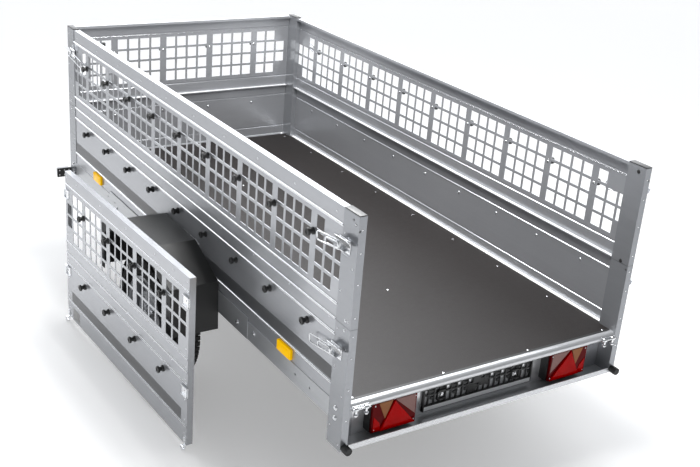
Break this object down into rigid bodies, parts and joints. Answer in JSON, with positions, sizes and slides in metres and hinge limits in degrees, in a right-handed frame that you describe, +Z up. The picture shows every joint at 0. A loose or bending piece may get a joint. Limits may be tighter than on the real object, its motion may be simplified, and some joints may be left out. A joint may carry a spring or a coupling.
{
  "type": "utility trailer",
  "caption": "Single-axle galvanised box trailer with perforated mesh sides, V-drawbar with ball coupling, jockey wheel, mudguards and a tailgate lifted off and stood beside the wheel.",
  "frame": {"origin": "centre of the tow ball in the coupling socket", "axes": "+Y forwards along the drawbar in the direction of travel, +X to the right, +Z up"},
  "size_m": [1.816, 3.74, 1.22],
  "materials": {
    "galvanised": "hot-dip galvanised, satin with a fine spangle",
    "bright_zinc": "bright zinc plated",
    "plywood": "dark brown phenolic film faced plywood",
    "black_plastic": "black plastic, satin",
    "tyre": "matt black rubber",
    "rubber": "matt black rubber",
    "rim_steel": "silver painted steel",
    "red_lens": "clear red plastic",
    "amber_lens": "amber reflector plastic",
    "clear_lens": "clear plastic"
  },
  "bodies": {
    "trailer": {"deck_panel": "plywood", "side_rail_left": "galvanised", "side_rail_right": "galvanised", "front_beam": "galvanised", "rear_beam": "galvanised", "cross_members": "galvanised", "drawbar_left": "galvanised", "drawbar_right": "galvanised", "coupling_head": "bright_zinc", "coupling_handle": "black_plastic", "jockey_clamp": "bright_zinc", "jockey_tube": "bright_zinc", "jockey_crank": "black_plastic", "axle_beam": "galvanised", "axle_arms": "galvanised", "mudguard_left": "black_plastic", "mudguard_right": "black_plastic", "side_panel_left": "galvanised", "side_panel_right": "galvanised", "front_panel": "galvanised", "side_mesh_left": "galvanised", "side_mesh_right": "galvanised", "front_mesh": "galvanised", "lower_posts": "galvanised", "upper_posts": "galvanised", "post_caps": "black_plastic", "rope_knobs": "black_plastic", "latches": "bright_zinc", "hinge_brackets": "bright_zinc", "tail_lamp_bodies": "black_plastic", "tail_lamp_lenses": "red_lens", "plate_holder": "black_plastic", "side_reflectors": "amber_lens", "marker_brackets": "black_plastic", "marker_lamps": "clear_lens", "rear_buffers": "rubber"},
    "wheel_left": {"tyre_left": "tyre", "rim_left": "rim_steel", "hub_left": "bright_zinc"},
    "wheel_right": {"tyre_right": "tyre", "rim_right": "rim_steel", "hub_right": "bright_zinc"},
    "jockey_leg": {"jockey_leg": "bright_zinc"},
    "jockey_fork": {"jockey_fork": "bright_zinc"},
    "jockey_wheel": {"jockey_wheel": "rubber"},
    "tailgate": {"tailgate_panel": "galvanised", "tailgate_mesh": "galvanised", "tailgate_knobs": "black_plastic", "tailgate_fittings": "bright_zinc"}
  },
  "joints": [
    {"name": "wheel_left_spin", "type": "hinge", "parent": "trailer", "child": "wheel_left", "pos_m": [-0.7445, -2.35, -0.1565], "axis": [1, 0, 0], "continuous": true},
    {"name": "wheel_right_spin", "type": "hinge", "parent": "trailer", "child": "wheel_right", "pos_m": [0.7445, -2.35, -0.1565], "axis": [1, 0, 0], "continuous": true},
    {"name": "jockey_height", "type": "slide", "parent": "trailer", "child": "jockey_leg", "axis": [0, 0, 1], "range_m": [0, 0.125]},
    {"name": "jockey_swivel", "type": "hinge", "parent": "jockey_leg", "child": "jockey_fork", "pos_m": [-0.13147, -0.17468, -0.2], "axis": [0, 0, 1], "continuous": true},
    {"name": "jockey_wheel_spin", "type": "hinge", "parent": "jockey_fork", "child": "jockey_wheel", "pos_m": [-0.13147, -0.21468, -0.33], "axis": [1, 0, 0], "continuous": true},
    {"name": "tailgate_lift", "type": "slide", "parent": "trailer", "child": "tailgate", "axis": [0, 0, 1], "range_m": [0, 1]}
  ]
}
